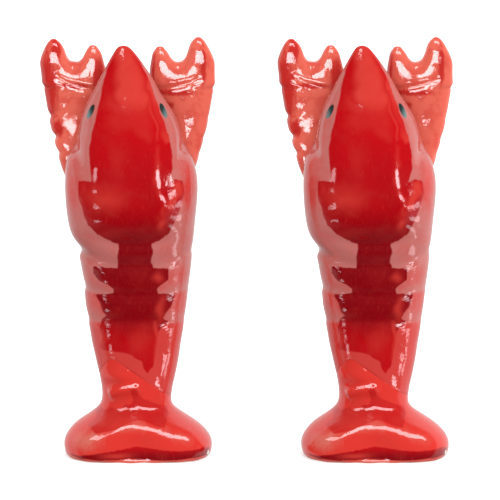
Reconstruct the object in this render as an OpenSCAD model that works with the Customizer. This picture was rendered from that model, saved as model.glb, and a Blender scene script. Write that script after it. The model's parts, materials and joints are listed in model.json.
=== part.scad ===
// Pair of glazed ceramic shakers, each a lobster that stands upright on its tail fan.
// Every figure faces -Y and stands on the plane z = 0. Its head, claws and body are hollow
// or solid castings joined while soft, and a plastic stopper closes the hole in its foot.
// The figure's outer form is a loft: each table row is one level ring of the shape, and the
// rings between the rows follow a smooth curve.

/* [Set] */
// Height of a figure, from its foot to its claw tips
figure_h = 110; // [100:1:120]
// Distance between the middles of the two figures
spacing = 62.6; // [58:0.2:90]

/* [Shell] */
// Thickness of the cast wall
wall = 3; // [2.4:0.1:3.6]
// How deep a claw's root is set into the shoulder
root_set = 1.6; // [1:0.1:2]
// Depth of the grooves between the abdomen's rings
groove_depth = 0.9; // [0.2:0.1:1.2]
// Depth of the creases across a claw's arm
crease_depth = 0.45; // [0.2:0.05:0.6]
// Depth of the notch between the tail fan's two front lobes
notch_depth = 1.3; // [0:0.1:1.6]

/* [Seam of the tail] */
// Height of the seam's middle
seam_z = 22.3; // [21:0.1:23]
// Slope of the seam across the figure, in degrees
seam_tilt = 29; // [20:1:30]

/* [Filling hole and stopper] */
// Radius of the filling hole
bore_r = 6.5; // [6:0.1:7]
// Radial gap between the stopper's lips and the hole
bore_gap = 0.06; // [0.04:0.01:0.1]
// Radius of the recess that the stopper's rim sits in
recess_r = 8.4; // [8.2:0.1:9]
// Depth of that recess
recess_d = 2.3; // [2.2:0.1:2.6]
// Thickness of the stopper's rim
rim_t = 1.2; // [1:0.1:1.4]
// Height of the stopper's plug above its rim
plug_h = 6; // [5.6:0.1:6.4]
// Wall thickness of the stopper's plug
plug_wall = 1.2; // [1:0.1:1.5]

/* [Pour holes] */
// Radius of a pour hole
pour_r = 1; // [0.8:0.1:1.2]
// Distance between neighbouring pour holes
pour_pitch = 3.6; // [3.4:0.1:4]

/* [Hidden] */

glaze_red = [0.75, 0.08, 0.09];
claw_red = [0.88, 0.30, 0.25];
clear_plastic = [0.88, 0.88, 0.85];

// The tables hold sizes of a figure 110 high, which this factor scales
k = figure_h / 110;
sides = 32;
claw_sides = 16;
core_sides = 20;
cut = 200;
// Middle of the seam in x
seam_x = 1.3;

// Column names of a table's row
Z = 0;
MIDDLE = 1;
HALF_W = 2;
FRONT = 3;
BACK = 4;
SQUARE = 5;

// Rings of the tail fan and the waist above it: height, middle in x, half width,
// front and back in y, and squareness, where 2 is an ellipse
tail_rows = [
    [0, 2.4, 18.6, -14.4, 12.2, 2.5],
    [1.2, 2.4, 19.4, -15.4, 13.2, 2.5],
    [4, 2.4, 19.5, -15.5, 13.2, 2.4],
    [6.8, 2.3, 17.8, -14.4, 12.4, 2.3],
    [9, 2.1, 15.3, -12.2, 11.5, 2.2],
    [11.2, 2, 11.8, -10, 10.8, 2.1],
    [13.5, 1.95, 9.45, -8.3, 10.3, 2.1],
    [17, 2.2, 9.35, -6.9, 10, 2.1],
    [22, 2.25, 10.3, -6, 10.2, 2.1],
    [28, 2.1, 11.55, -5.8, 10.8, 2.2],
    [36, 2, 12.85, -6.3, 11.6, 2.2]
];

// Rings of the abdomen, the carapace and the head, up to the tip of the beak
body_rows = [
    [13.5, 1.95, 9.45, -8.3, 10.3, 2.1],
    [17, 2.2, 9.35, -6.9, 10, 2.1],
    [22, 2.25, 10.3, -6, 10.2, 2.1],
    [28, 2.1, 11.55, -5.8, 10.8, 2.2],
    [36, 2, 12.85, -6.3, 11.6, 2.2],
    [45, 2, 13.95, -7.2, 12.4, 2.2],
    [54, 1.7, 15.2, -8.6, 13, 2.2],
    [60, 0.95, 16.45, -11.2, 13.6, 2.2],
    [67, 0.8, 17.2, -13, 14, 2.2],
    [74, 0.8, 17.3, -12.8, 14.2, 2.2],
    [79.5, 0.35, 16.2, -11.4, 13.4, 2.1],
    [83.5, 0.45, 13.95, -9.9, 12, 2.1],
    [89.6, 0.15, 12.3, -7.4, 10, 2],
    [95, -0.4, 9.5, -5, 7.8, 2],
    [100, -0.5, 6.8, -2.8, 6, 2],
    [104.5, -0.75, 4.1, -0.8, 4.6, 2],
    [107.4, -1.1, 2.1, 0.6, 3.4, 2],
    [108.4, -1.2, 0.5, 1.8, 2.4, 2]
];

// Neck of the hollow, from the floor of the foot up into the waist
neck_rows = [
    [5.5, 2.4, 7.2, -7.7, 6.7, 2],
    [9.5, 2.4, 7, -7.4, 6.8, 2]
];

// Claw parts, as drawn for the right side
palm_rows = [
    [72, 12.6, 3.6, 1.6, 8.4, 2],
    [76, 13.9, 4.1, 2.6, 10, 2],
    [81, 14.9, 4.5, 4, 11.6, 2],
    [86, 15.4, 5.3, 5, 13, 2],
    [91, 15.1, 6.7, 5.8, 14, 2],
    [96, 14.4, 8.1, 6.2, 14.5, 2.1],
    [99.5, 14.2, 8.6, 6.2, 14.4, 2.2],
    [101.8, 14.2, 8.3, 6.8, 13.8, 2.2],
    [103.3, 14.2, 6.2, 8, 12.6, 2.1]
];
outer_finger_rows = [
    [97, 18, 4.6, 6.6, 14, 2],
    [101, 18.3, 4.4, 6.6, 13.8, 2],
    [104.5, 18.6, 3.7, 7, 13.2, 2],
    [107.4, 18.5, 2.4, 7.8, 12.2, 2],
    [109.3, 18.4, 1.1, 8.8, 11.2, 2],
    [110, 18.4, 0.4, 9.6, 10.4, 2]
];
inner_finger_rows = [
    [97, 9.9, 4.3, 6.8, 13.8, 2],
    [101, 9.5, 4, 6.8, 13.6, 2],
    [104, 8.7, 2.8, 7.2, 13, 2],
    [106, 8.3, 1.6, 8, 12, 2],
    [107.3, 8.2, 0.9, 9, 11, 2],
    [107.8, 8.2, 0.4, 9.6, 10.4, 2]
];

// Grooves between the abdomen's rings: height at the sides, how far each dips in front,
// and its depth at the left and the right side, as shares of its depth in front
grooves = [[59.5, 2.6, 0.1, 0.1], [54, 3.2, 1, 0.2], [44.6, 1.6, 0.5, 0.15], [36, -0.2, 0.4, 0.15]];
// Height where the fingers part from the palm, and how far the left claw's tips lean out
palm_z = 97;
left_splay = 1.4;
// Width of the stopper's pull bar
bar_w = 1.4;
// Heights of the creases across an arm
creases = [80.5, 84.9, 90.6];

function keep_in(i, n) = max(0, min(n - 1, i));

// Smooth curve through four neighbouring values, from b at u = 0 to c at u = 1
function through(a, b, c, d, u) =
    b + 0.5 * u * (c - a + u * (2 * a - 5 * b + 4 * c - d + u * (3 * (b - c) + d - a)));

// Row of a table at a place t between its rows
function row_at(rows, t) = let (n = len(rows), i = min(n - 2, floor(t)), u = t - i)
    [for (c = [Z:SQUARE]) through(rows[keep_in(i - 1, n)][c], rows[i][c], rows[i + 1][c],
                                  rows[keep_in(i + 2, n)][c], u)];

function signed_pow(v, p) = sign(v) * pow(abs(v), p);

// How deep a groove is at a height: a rounded valley about 3 across
function valley(dz) = exp(-dz * dz / 1.1);

// Depth of all grooves at a height and an angle; they lie in front and at the sides only
function groove_at(z, a) = let (front = max(0, -sin(a)), reach = min(1, max(0, 1.25 - sin(a))))
    groove_depth * reach * max([for (g = grooves)
        valley(z - g[0] + g[1] * front) * (front + (1 - front) * g[cos(a) < 0 ? 2 : 3])]);

// Depth of the notch between the two lobes at the front of the tail fan
function notch_at(z, a) = notch_depth * exp(-pow((a - 270) / 20, 2)) * exp(-pow(z / 8, 4));

function crease_at(z, a) = crease_depth * max([for (c = creases) valley((z - c - 0.12 * cos(a)) * 1.6)]);

// One point of a ring, drawn in by inset
function ring_point(r, a, inset) = let (
        p = 2 / r[SQUARE],
        mid_y = (r[FRONT] + r[BACK]) / 2,
        half_d = (r[BACK] - r[FRONT]) / 2)
    k * [r[MIDDLE] + (r[HALF_W] - inset) * signed_pow(cos(a), p),
         mid_y + (half_d - inset) * signed_pow(sin(a), p), r[Z]];

// Depth of a piece's relief: 1 for the abdomen's grooves, 2 for the arm's creases,
// 3 for the notch in the tail fan, 0 for none
function dent_at(relief, z, a) =
    relief == 1 ? groove_at(z, a) : relief == 2 ? crease_at(z, a) : relief == 3 ? notch_at(z, a) : 0;

// Closed solid through all rings of a table
module loft(rows, steps, n, relief = 0, inset = 0) {
    last = len(rows) - 1;
    ring_count = last * steps;
    points = [for (i = [0:ring_count], j = [0:n - 1]) let (
            r = row_at(rows, i / steps),
            a = 360 * j / n)
        ring_point(r, a, inset + dent_at(relief, r[Z], a))];
    walls = [for (i = [0:ring_count - 1], j = [0:n - 1]) let (
            a = i * n + j,
            b = i * n + (j + 1) % n)
        each [[a, b, b + n], [a, b + n, a + n]]];
    floor_face = [for (j = [n - 1:-1:0]) j];
    top_face = [for (j = [0:n - 1]) ring_count * n + j];
    polyhedron(points, [for (f = concat([floor_face], walls, [top_face])) [for (m = [len(f) - 1:-1:0]) f[m]]]);
}

// Everything above the oblique seam between the body and the tail fan
module above_seam() {
    translate([seam_x * k, 0, seam_z * k])
    rotate([0, seam_tilt, 0])
    translate([-cut / 2, -cut / 2, 0])
    cube(cut);
}

// The hollow inside a figure, from the floor of its foot to its head
hollow_rows = concat(neck_rows, [for (r = body_rows) if (r[Z] > 16 && r[Z] < 100)
    [r[Z], r[MIDDLE], r[HALF_W] - wall, r[FRONT] + wall, r[BACK] - wall, r[SQUARE]]]);

module hollow() loft(hollow_rows, 2, 18);

// Holes for the grains in the back of the head, in one row or two
module pour_holes(count) {
    for (i = [0:count - 1])
        translate([-1.2 * k + pour_pitch * (min(i, 1) - 0.5 + (i > 1 ? -0.5 : 0)), 2.4 * k,
                   (i > 1 ? 94.5 : 91.5) * k])
        rotate([-55, 0, 0])
        cylinder(r = pour_r, h = 14, $fn = 32);
}

module body_shell(holes) {
    color(glaze_red)
    difference() {
        intersection() {
            loft(body_rows, 3, sides, relief = 1);
            above_seam();
        }
        hollow();
        pour_holes(holes);
    }
}

module tail_foot() {
    color(glaze_red)
    difference() {
        loft(tail_rows, 2, sides, relief = 3);
        above_seam();
        hollow();
        bore_at() {
            translate([0, 0, -1])
            cylinder(r = bore_r, h = 8, $fn = 64);
            translate([0, 0, -1])
            cylinder(r = recess_r, h = 1 + recess_d, $fn = 64);
        }
    }
}

// Places its children on the axis of the filling hole
module bore_at() {
    translate([2.4 * k, -0.5 * k, 0])
    children();
}

// Rows moved outwards by splay at the height of the tips, and not at all at the palm
function splayed(rows, splay) = [for (r = rows)
    [r[Z], r[MIDDLE] + splay * (r[Z] - palm_z) / (110 - palm_z), r[HALF_W], r[FRONT], r[BACK], r[SQUARE]]];

// Arm and claw, set into the shoulder as far as root_set; side is 1 for right and -1 for left
module claw(side, splay) {
    color(claw_red)
    difference() {
        mirror([side < 0 ? 1 : 0, 0, 0]) {
            loft(palm_rows, 2, claw_sides, relief = 2);
            loft(splayed(outer_finger_rows, splay), 2, claw_sides);
            loft(splayed(inner_finger_rows, splay), 2, claw_sides);
        }
        shoulder_core();
    }
}

// The inside of the body where the arms meet it, which no claw reaches into
module shoulder_core() loft([for (r = body_rows) if (r[Z] > 58 && r[Z] < 101) r], 1, core_sides, inset = root_set);

// Plug with a rim, two sealing lips and a bar across its open foot to pull it by
module stopper() {
    rim_z = recess_d - rim_t - 0.1;
    lip_r = bore_r - bore_gap;
    plug_r = lip_r - 0.35;
    inner_r = plug_r - plug_wall;
    color(clear_plastic)
    bore_at()
    difference() {
        union() {
            translate([0, 0, rim_z])
            cylinder(r = recess_r - 0.6, h = rim_t, $fn = 64);
            translate([0, 0, rim_z + rim_t])
            cylinder(r = plug_r, h = plug_h, $fn = 64);
            for (z = [1, 3.6])
                translate([0, 0, rim_z + rim_t + z])
                cylinder(r = lip_r, h = 0.8, $fn = 64);
        }
        difference() {
            translate([0, 0, rim_z - 1])
            cylinder(r = inner_r, h = rim_t + plug_h + 1 - plug_wall, $fn = 64);
            translate([-inner_r - 1, -bar_w / 2, rim_z])
            cube([2 * inner_r + 2, bar_w, 2 * bar_w]);
        }
    }
}

module left_place() translate([-spacing / 2, 0, 0]) children();
module right_place() translate([spacing / 2, 0, 0]) children();

module salt_body() left_place() body_shell(3);
module salt_claw_left() left_place() claw(-1, left_splay);
module salt_claw_right() left_place() claw(1, 0);
module salt_tail_fan() left_place() tail_foot();
module salt_stopper() left_place() stopper();
module pepper_body() right_place() body_shell(2);
module pepper_claw_left() right_place() claw(-1, left_splay);
module pepper_claw_right() right_place() claw(1, 0);
module pepper_tail_fan() right_place() tail_foot();
module pepper_stopper() right_place() stopper();

salt_body();
salt_claw_left();
salt_claw_right();
salt_tail_fan();
salt_stopper();
pepper_body();
pepper_claw_left();
pepper_claw_right();
pepper_tail_fan();
pepper_stopper();
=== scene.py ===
import json
import math

import bpy
import numpy as np
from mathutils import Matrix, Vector

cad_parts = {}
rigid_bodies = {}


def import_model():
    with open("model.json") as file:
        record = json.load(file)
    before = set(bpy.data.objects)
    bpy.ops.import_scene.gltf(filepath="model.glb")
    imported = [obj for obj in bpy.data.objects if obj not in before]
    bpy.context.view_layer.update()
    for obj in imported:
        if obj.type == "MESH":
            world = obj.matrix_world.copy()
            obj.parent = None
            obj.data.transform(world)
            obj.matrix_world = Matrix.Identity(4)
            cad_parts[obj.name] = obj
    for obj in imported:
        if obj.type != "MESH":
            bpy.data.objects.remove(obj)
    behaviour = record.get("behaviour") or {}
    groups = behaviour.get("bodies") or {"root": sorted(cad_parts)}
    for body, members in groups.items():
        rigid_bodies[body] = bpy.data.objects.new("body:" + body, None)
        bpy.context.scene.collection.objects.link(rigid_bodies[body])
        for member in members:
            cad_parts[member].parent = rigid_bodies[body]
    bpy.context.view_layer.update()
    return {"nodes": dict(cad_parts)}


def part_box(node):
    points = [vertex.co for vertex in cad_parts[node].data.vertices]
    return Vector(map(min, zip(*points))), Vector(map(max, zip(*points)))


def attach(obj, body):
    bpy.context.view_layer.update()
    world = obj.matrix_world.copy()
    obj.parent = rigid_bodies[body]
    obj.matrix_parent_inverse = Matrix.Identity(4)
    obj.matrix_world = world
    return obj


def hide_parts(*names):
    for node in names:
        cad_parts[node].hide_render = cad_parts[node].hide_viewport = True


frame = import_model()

# Two lobster shakers of glazed ceramic. Shapes are worked out in millimetres in a figure's own
# frame: it stands on z = 0, faces -Y, and x = 0 is the middle of its width. Claws and tail fan are
# built once and set down twice. The body is drilled for each figure, because salt pours through
# three holes and pepper through two.

MM = 0.001

FIGURES = ("salt", "pepper")
# Axis of the filling hole and its stopper
PLUG_X, PLUG_Y = 2.4, -0.5


def figure_x(name):
    """Middle of a figure, in metres, from where the frame holds its stopper."""
    low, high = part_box(name + "_stopper")
    return (low.x + high.x) / 2 - PLUG_X * MM


# ---------------------------------------------------------------- curves through a few rows

Z, MIDDLE, HALF_W, FRONT, BACK, SQUARE = range(6)

# Rings from bottom to top: height, middle in x, half width, front and back in y, and
# squareness, where 2 is an ellipse. Tail fan and body share the waist, which the seam crosses.
WAIST_ROWS = [
    (13.5, 1.95, 9.45, -7.5, 10.3, 2.1),
    (17, 2.2, 9.35, -6.7, 10, 2.1),
    (22, 2.25, 10.3, -6, 10.2, 2.1),
    (28, 2.1, 11.55, -5.8, 10.8, 2.2),
    (36, 2, 12.85, -6.3, 11.6, 2.2),
]
TAIL_ROWS = [
    (0, 2.4, 18.6, -14.2, 12.2, 2.5),
    (1.2, 2.4, 19.3, -14.9, 13.1, 2.5),
    (4, 2.4, 19.4, -14.5, 13.1, 2.4),
    (6.8, 2.3, 17.8, -13.1, 12.4, 2.3),
    (9, 2.1, 15.3, -11.2, 11.5, 2.2),
    (11.2, 2, 11.8, -9.0, 10.8, 2.1),
] + WAIST_ROWS
BODY_ROWS = WAIST_ROWS + [
    (45, 2, 13.95, -7.2, 12.4, 2.2),
    (54, 1.7, 15.2, -8.6, 13, 2.2),
    (60, 0.95, 16.3, -11.2, 13.6, 2.2),
    (67, 0.8, 16.7, -13, 14, 2.2),
    (74, 0.8, 16.75, -12.8, 14.1, 2.2),
    (79.5, 0.35, 15.9, -11.4, 13.4, 2.1),
    (83.5, 0.45, 13.95, -9.9, 12, 2.1),
    (89.6, 0.15, 12.3, -7.4, 10, 2),
    (95, -0.4, 9.5, -5, 7.8, 2),
    (100, -0.5, 6.8, -2.8, 6, 2),
    (104.5, -0.75, 4.1, -0.8, 4.6, 2),
    (107.3, -1.1, 2.15, 0.6, 3.4, 2),
    (108.2, -1.2, 1.05, 1.4, 2.8, 2),
    (108.45, -1.2, 0, 2.1, 2.1, 2),
]
BODY_TIP = (-1.2, 2.1, 108.45)

# The hollow: a neck in the tail fan, then the body's rings drawn in by the wall, then a round end
WALL = 3.0
NECK_ROWS = [(5.5, 2.4, 7.2, -7.7, 6.7, 2), (9.5, 2.4, 7, -7.4, 6.8, 2)]
HOLLOW_ROWS = NECK_ROWS + [
    (z, m, w - WALL, f + WALL, b - WALL, q) for z, m, w, f, b, q in BODY_ROWS if 16 < z < 98
] + [(98, -0.8, 3.4, -0.4, 3.4, 2), (100.5, -0.8, 0, 1.6, 1.6, 2)]
HOLLOW_TIP = (-0.8, 1.6, 100.5)

# The seam falls towards +X and arches down again on the other side. Its lip is slightly sunk.
SEAM_X, SEAM_Z, SEAM_SLOPE = 1.05, 22.9, 0.7
ARCH_X, ARCH_BEND = -3.0, 0.33
SEAM_COS = math.cos(math.atan(SEAM_SLOPE))
LIP_DEPTH, LIP_WIDTH = 0.06, 0.3
# Rows of a table between which each loft crosses the seam
BODY_SEAM_ROWS, HOLLOW_SEAM_ROWS, FIRST_TAIL_SEAM_ROW = (0, 6), (1, 7), 4


def curve_through(rows):
    """Smooth curve through a table's rows, as a function of the place between them."""
    rows = np.array(rows, float)
    n = len(rows)
    system = np.eye(n)
    pull = np.zeros_like(rows)
    for i in range(1, n - 1):
        system[i, i - 1 : i + 2] = (1, 4, 1)
        pull[i] = 6 * (rows[i - 1] - 2 * rows[i] + rows[i + 1])
    bend = np.linalg.solve(system, pull)

    def at(t):
        i = np.clip(np.floor(t).astype(int), 0, n - 2)
        u = (t - i)[..., None]
        v = 1 - u
        return v * rows[i] + u * rows[i + 1] + ((v**3 - v) * bend[i] + (u**3 - u) * bend[i + 1]) / 6

    at.last = n - 1.0
    return at


def ring_points(r, a):
    """Points at angles a on the rings r, where r ends in the table's columns."""
    q = 0.3 * (r[..., SQUARE] - 2)
    c, s = np.cos(a), np.sin(a)
    x = r[..., MIDDLE] + r[..., HALF_W] * c * (1 + q * s * s)
    y = (r[..., FRONT] + r[..., BACK]) / 2 + (r[..., BACK] - r[..., FRONT]) / 2 * s * (1 + q * c * c)
    return np.stack([x, y, r[..., Z]], -1)


def seam_height(x):
    """Height of the oblique seam between body and tail fan."""
    return SEAM_Z - SEAM_SLOPE * (x - SEAM_X) - ARCH_BEND * np.maximum(ARCH_X - x, 0) ** 2


def seam_place(at, a, low_row, high_row):
    """Place along a loft where it meets the seam, for each angle, by halving."""
    low, high = np.full(a.shape, float(low_row)), np.full(a.shape, float(high_row))
    for _ in range(30):
        mid = (low + high) / 2
        p = ring_points(at(mid), a)
        above = p[..., 2] > seam_height(p[..., 0])
        high = np.where(above, mid, high)
        low = np.where(above, low, mid)
    return (low + high) / 2


def even_places(at):
    """Length along a loft's profile, as places and the lengths there."""
    t = np.linspace(0, at.last, 4000)
    r = at(t)
    step = np.sqrt(np.diff(r[:, Z]) ** 2 + np.diff(r[:, HALF_W]) ** 2 + 0.3 * np.diff(r[:, FRONT]) ** 2)
    return t, np.concatenate([[0], np.cumsum(step)])


def grid_normals(p):
    """Unit normals of a grid of points whose columns run round and whose rows run up."""
    across = np.roll(p, -1, 1) - np.roll(p, 1, 1)
    up = np.gradient(p, axis=0)
    n = np.cross(across, up)
    size = np.linalg.norm(n, axis=-1, keepdims=True)
    return n / np.maximum(size, 1e-9)


def bell(d, width):
    """Round bump: 1 at d = 0, and almost nothing beyond twice the width."""
    return np.exp(-((d / width) ** 2))


def patch(u, v, mid_u, mid_v, half_u, half_v):
    """Round bump in the front view."""
    return np.exp(-(((u - mid_u) / half_u) ** 2) - ((v - mid_v) / half_v) ** 2)


def smooth(e0, e1, v):
    """Soft step from 0 at e0 to 1 at e1."""
    t = np.clip((v - e0) / (e1 - e0), 0, 1)
    return t * t * (3 - 2 * t)


def wobble(p, amount, size, seed):
    """Slow unevenness of a hand-finished surface, from a few waves."""
    rng = np.random.default_rng(seed)
    total = 0
    for _ in range(7):
        k = rng.normal(size=3)
        k = k / np.linalg.norm(k) * 2 * math.pi / (size * rng.uniform(0.7, 1.6))
        total = total + np.sin(p @ k + rng.uniform(0, 2 * math.pi))
    return amount * total / 2.6


def near_line(x, z, points):
    """Distance in the front view to a line through a few points, and how far along it that is."""
    best = np.full(x.shape, 1e9)
    along = np.zeros(x.shape)
    count = len(points) - 1
    for i in range(count):
        (ax, az), (bx, bz) = points[i], points[i + 1]
        dx, dz = bx - ax, bz - az
        h = np.clip(((x - ax) * dx + (z - az) * dz) / (dx * dx + dz * dz), 0, 1)
        d = np.hypot(x - ax - h * dx, z - az - h * dz)
        closer = d < best
        along = np.where(closer, (i + h) / count, along)
        best = np.where(closer, d, best)
    return best, along


def inside_outline(x, z, points):
    """Distance in the front view to a closed outline, positive inside it."""
    d, _ = near_line(x, z, list(points) + [points[0]])
    odd = np.zeros(x.shape, bool)
    for (ax, az), (bx, bz) in zip(points, points[1:] + points[:1]):
        if az != bz:
            crosses = (az > z) != (bz > z)
            odd ^= crosses & (x < (bx - ax) * (z - az) / (bz - az) + ax)
    return np.where(odd, d, -d)


# ---------------------------------------------------------------- relief of the body

# Middle and half width of the carapace and the abdomen's plates in x
PLATES_X, PLATES_HALF_W = 1.5, 14.5
# Their lower edges: height in front, rise towards the sides, depth, how wide the plate curls in
# above and below, and the depth's share at the left and the right side
PLATES = [
    (57.0, 3.6, 0.95, 3.2, 1.3, 0.0, 0.0),
    (50.7, 3.2, 0.85, 2.4, 1.0, 1.25, 0.25),
    (43.0, 1.6, 0.7, 2.4, 1.0, 0.55, 0.1),
    (36.2, -0.6, 0.55, 2.2, 1.0, 0.45, 0.1),
]
# Soft ridges down the carapace: a line, how far it stands out and its width
RIDGES = [
    ([(6.0, 90), (6.6, 84), (7.0, 79), (6.9, 75), (7.6, 71), (9.0, 68), (9.4, 65), (8.8, 61)], 0.6, 2.3),
    ([(-6.6, 86), (-7.8, 80), (-8.0, 73), (-7.6, 66)], 0.2, 2.4),
]
# The back's middle, and on it the legs' lines for the +X side and the heights of the belly's plates
BACK_X = 0.8
LEG_LINES = [
    [(2.0, 77.0), (7.0, 80.5), (11.5, 79.0), (13.0, 75.0)],
    [(2.0, 72.5), (7.5, 75.5), (12.0, 73.5), (13.6, 69.5)],
    [(2.0, 68.0), (7.5, 70.5), (12.0, 68.0), (13.4, 64.5)],
    [(2.2, 63.5), (7.0, 65.5), (11.0, 63.5), (12.4, 60.5)],
]
BELLY_PLATES = (32.5, 38.0, 43.5, 49.0, 54.5)


def above_plate(x, z, height, rise):
    """Height above a plate's lower edge."""
    return z - height - rise * ((x - PLATES_X) / PLATES_HALF_W) ** 2


def body_relief(p, n):
    """How far the body's surface stands out from its plain loft, in millimetres."""
    x, z = p[..., 0], p[..., 2]
    front = smooth(-0.15, 0.25, -n[..., 1])
    sides = smooth(-0.75, -0.1, -n[..., 1])
    belly = smooth(0.3, 0.75, n[..., 1])
    out = np.zeros(x.shape)
    for height, rise, depth, above, below, left, right in PLATES:
        d = above_plate(x, z, height, rise)
        share = 1 + (np.where(x < PLATES_X, left, right) - 1) * smooth(5, 13, np.abs(x - PLATES_X))
        out -= depth * share * sides * bell(d, np.where(d > 0, above, below))
    # The humps of the shoulders, the valleys beside the cheeks and the carapace's soft ridges
    for side, hump_x in ((-1, -15.2), (1, 16.2)):
        out += 0.7 * sides * patch(x, z, hump_x, 71, 4.2, 9.5)
        valley = [(hump_x - side * 0.6, 83.4), (hump_x - side * 2.2, 79), (hump_x - side * 2.8, 74)]
        d, along = near_line(x, z, valley)
        out -= 1.0 * front * bell(d, 1.6) * (1 - smooth(0.15, 1, along))
    for line, height, width in RIDGES:
        d, along = near_line(x, z, line)
        out += height * front * bell(d, width) * np.sin(math.pi * along) ** 0.5
    # The brow above each eye
    for eye_x, eye_z in EYES:
        out += 0.28 * front * patch(x, z, eye_x, eye_z, 1.6, 2.6)
    # Folded legs under the carapace and the plates of the belly
    for line in LEG_LINES:
        d, along = near_line(np.abs(x - BACK_X), z, line)
        out += 0.75 * belly * bell(d, 1.15) * smooth(0, 0.08, along) * (1 - 0.5 * smooth(0.8, 1, along))
    out -= 0.45 * belly * bell(x - BACK_X, 0.8) * smooth(60, 62, z) * (1 - smooth(78, 81, z))
    for height in BELLY_PLATES:
        out -= 0.5 * belly * bell(z - height - 0.02 * (x - 1.8) ** 2, 0.75)
    out += wobble(p, 0.07, 15, 3) * smooth(108.4, 104, z)
    out += wobble(p, 0.035, 7, 4) * smooth(62, 56, z)
    return out


# ---------------------------------------------------------------- paint of the body

EYES = [(-9.7, 91.6), (9.35, 91.9)]
EYE_HALF_W, EYE_HALF_H, EYE_LEAN = 0.72, 1.9, 0.42
# Lighter red, mostly painted sheen and reflection: outlines with the softness of their edge and a strength,
# round patches by middle, half sizes and strength, and lines with a width and a strength
SHEEN_SHAPES = [
    ([(-3.2, 108.3), (0.4, 108.3), (3.2, 103), (4.6, 98), (5.6, 93), (3.6, 91.4), (-1.6, 92.4), (-3.0, 96),
      (-3.0, 103)], 1.5, 0.9),
    ([(-4.6, 95), (-1, 94), (5.8, 94), (6.8, 90), (5.4, 86), (1.5, 88.4), (-2.6, 86.8), (-5.6, 88.5)],
     2.6, 0.7),
    ([(5.0, 100.5), (6.1, 99.2), (8.6, 92.4), (10.9, 87.4), (11.0, 84), (9.9, 83.6), (8.2, 88), (6.8, 93),
      (5.2, 97.5)], 0.6, 0.75),
    ([(10.2, 68.2), (11.2, 71.2), (12.4, 73.5), (14.0, 73.7), (14.3, 71.2), (13.0, 69.0), (11.4, 67.0)],
     0.9, 0.9),
]
SHEEN_PATCHES = [
    (9.0, 62.8, 1.2, 2.2, 0.7), (8.0, 48.0, 1.2, 1.7, 0.6), (8.6, 39.8, 1.0, 2.8, 0.6),
    (-6.6, 31.4, 0.8, 2.6, 0.5), (-6.0, 70.0, 5.5, 3.4, 0.62), (-4.4, 68.3, 1.7, 0.9, 0.5),
    (-11.7, 71.5, 0.9, 1.7, 0.4), (3.0, 31.0, 3.4, 4.0, 0.3), (-4.5, 60.5, 3.0, 1.5, 0.2),
    (-3.0, 79.5, 2.5, 6.0, 0.2),
]
SHEEN_LINES = [
    ([(7.9, 84), (7.9, 79), (7.5, 75), (8.1, 71.4), (9.6, 69), (9.7, 66), (8.8, 62)], 0.6, 0.45),
    ([(5.2, 96), (7.2, 89.5), (8.2, 85)], 0.4, 0.6),
    ([(7.2, 37), (7.6, 31), (6.8, 26)], 0.6, 0.7),
]

# Outlines of the deep red on the carapace and down the abdomen
CARAPACE_RED = [
    (-2.6, 110), (1.5, 110), (3.6, 103.6), (5.4, 100.2), (6.2, 98.0), (7.4, 94.6), (8.4, 92.0), (9.8, 88.6),
    (11.0, 84.6), (11.7, 80.6), (11.8, 77.4), (10.6, 73.9), (12.6, 74.6), (14.4, 73.9), (14.9, 71.0),
    (14.4, 68.8), (13.2, 65.8), (12.2, 62.9), (10.8, 60.2), (8.4, 58.3), (5.6, 57.2), (2.0, 56.6),
    (-3.8, 57.7), (-8.0, 60.3), (-10.4, 62.9), (-11.8, 66.2), (-12.7, 69.2), (-13.0, 71.8), (-12.8, 73.9),
    (-9.2, 74.3), (-9.8, 78.4), (-10.1, 82.4), (-9.2, 86.6), (-8.2, 91.0), (-7.2, 95.4), (-6.2, 99.8),
    (-5.3, 103.8),
]
ABDOMEN_RED = [
    (-2.6, 58.5), (6.4, 58.5), (6.2, 50.9), (10.9, 50.6), (10.6, 47.6), (7.6, 45.0), (7.4, 43.6),
    (12.2, 43.2), (11.0, 40.0), (9.2, 37.2), (10.4, 36.2), (8.2, 33.5), (7.2, 29.0), (6.6, 24.4),
    (5.2, 22.6), (3.4, 25.4), (0.8, 27.4), (-3.0, 28.3), (-7.0, 28.4), (-7.4, 36.4), (-6.0, 37.8),
    (-7.6, 40.4), (-8.3, 43.2), (-3.5, 44.0), (-3.6, 45.0), (-6.4, 46.6), (-8.8, 48.8), (-9.3, 50.6),
    (-2.7, 50.9),
]
# Values of a paint field where it is nowhere near: outside an eye or a bare spot, and outside the red
NOWHERE, OUTSIDE = -5.0, -3.0


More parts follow.
